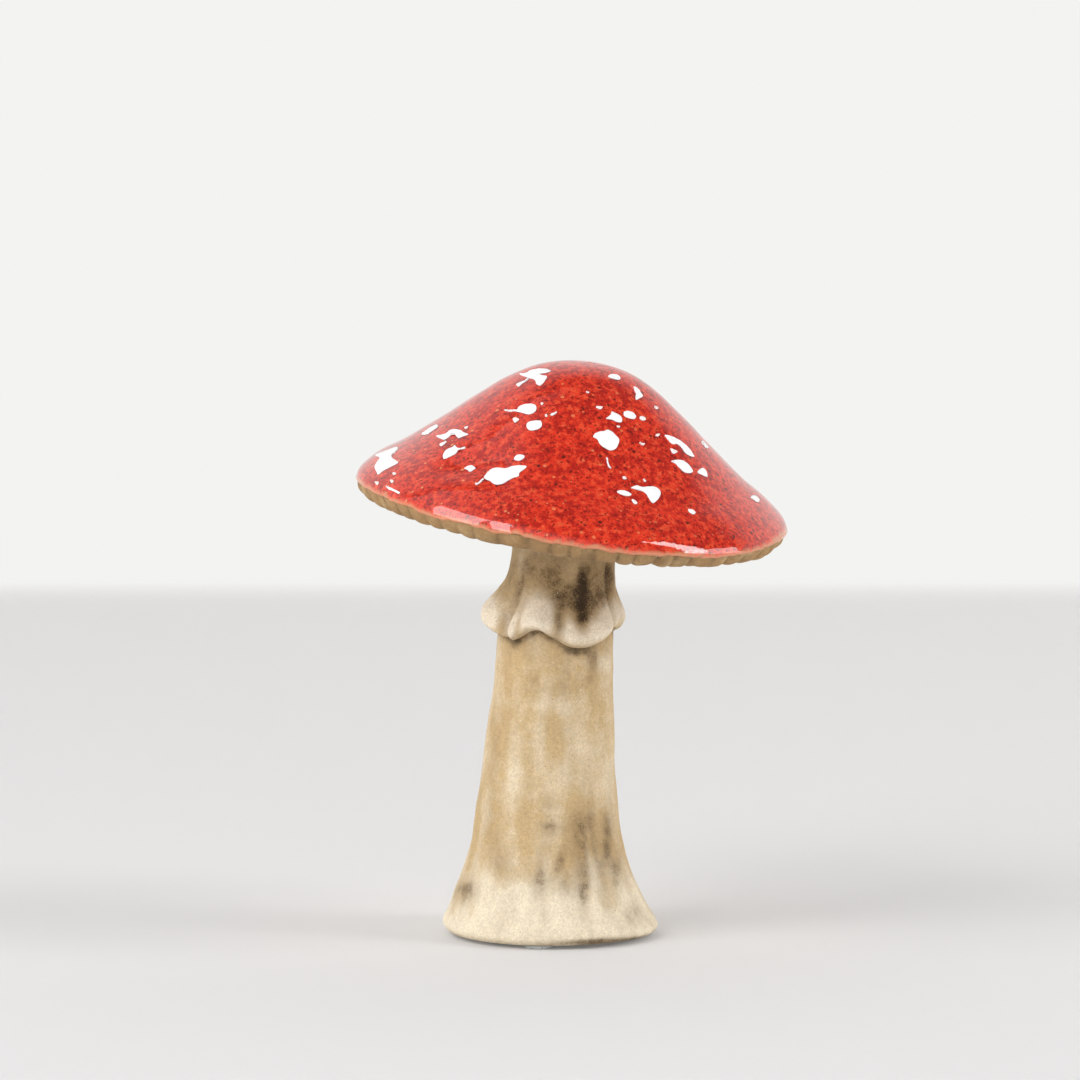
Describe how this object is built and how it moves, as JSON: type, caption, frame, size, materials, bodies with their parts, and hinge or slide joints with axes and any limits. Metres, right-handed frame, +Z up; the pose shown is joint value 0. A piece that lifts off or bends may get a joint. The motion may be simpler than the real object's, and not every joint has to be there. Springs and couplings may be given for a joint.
{
  "type": "ceramic mushroom ornament",
  "caption": "Free-standing stoneware toadstool ornament: hollow flared stem, draped skirt, gilled plate and a tilted hollow cap with a glossy glaze and raised pale dabs.",
  "frame": {"origin": "on the table, under the middle of the cap, which is the middle of the whole ornament", "axes": "+Z up along the stem, -Y the front that the picture shows, +X the side that the neck leans to"},
  "size_m": [0.1044, 0.1048, 0.1393],
  "materials": {
    "clear_feet": "clear, soft",
    "stem": "bare stoneware with a brown oxide wash",
    "skirt": "bare stoneware, heavily stained in the folds",
    "neck_coil": "bare stoneware, stained dark",
    "gill_plate": "bare stoneware, stained between the gills",
    "cap_dome": "bare stoneware under the glaze",
    "red_glaze": "glossy orange-red glaze with iron specks",
    "white_dabs": "glossy white glaze"
  },
  "bodies": {
    "root": {"clear_feet": "clear_feet", "stem": "stem", "skirt": "skirt", "neck_coil": "neck_coil", "gill_plate": "gill_plate", "cap_dome": "cap_dome", "red_glaze": "red_glaze", "white_dabs": "white_dabs"}
  },
  "joints": []
}
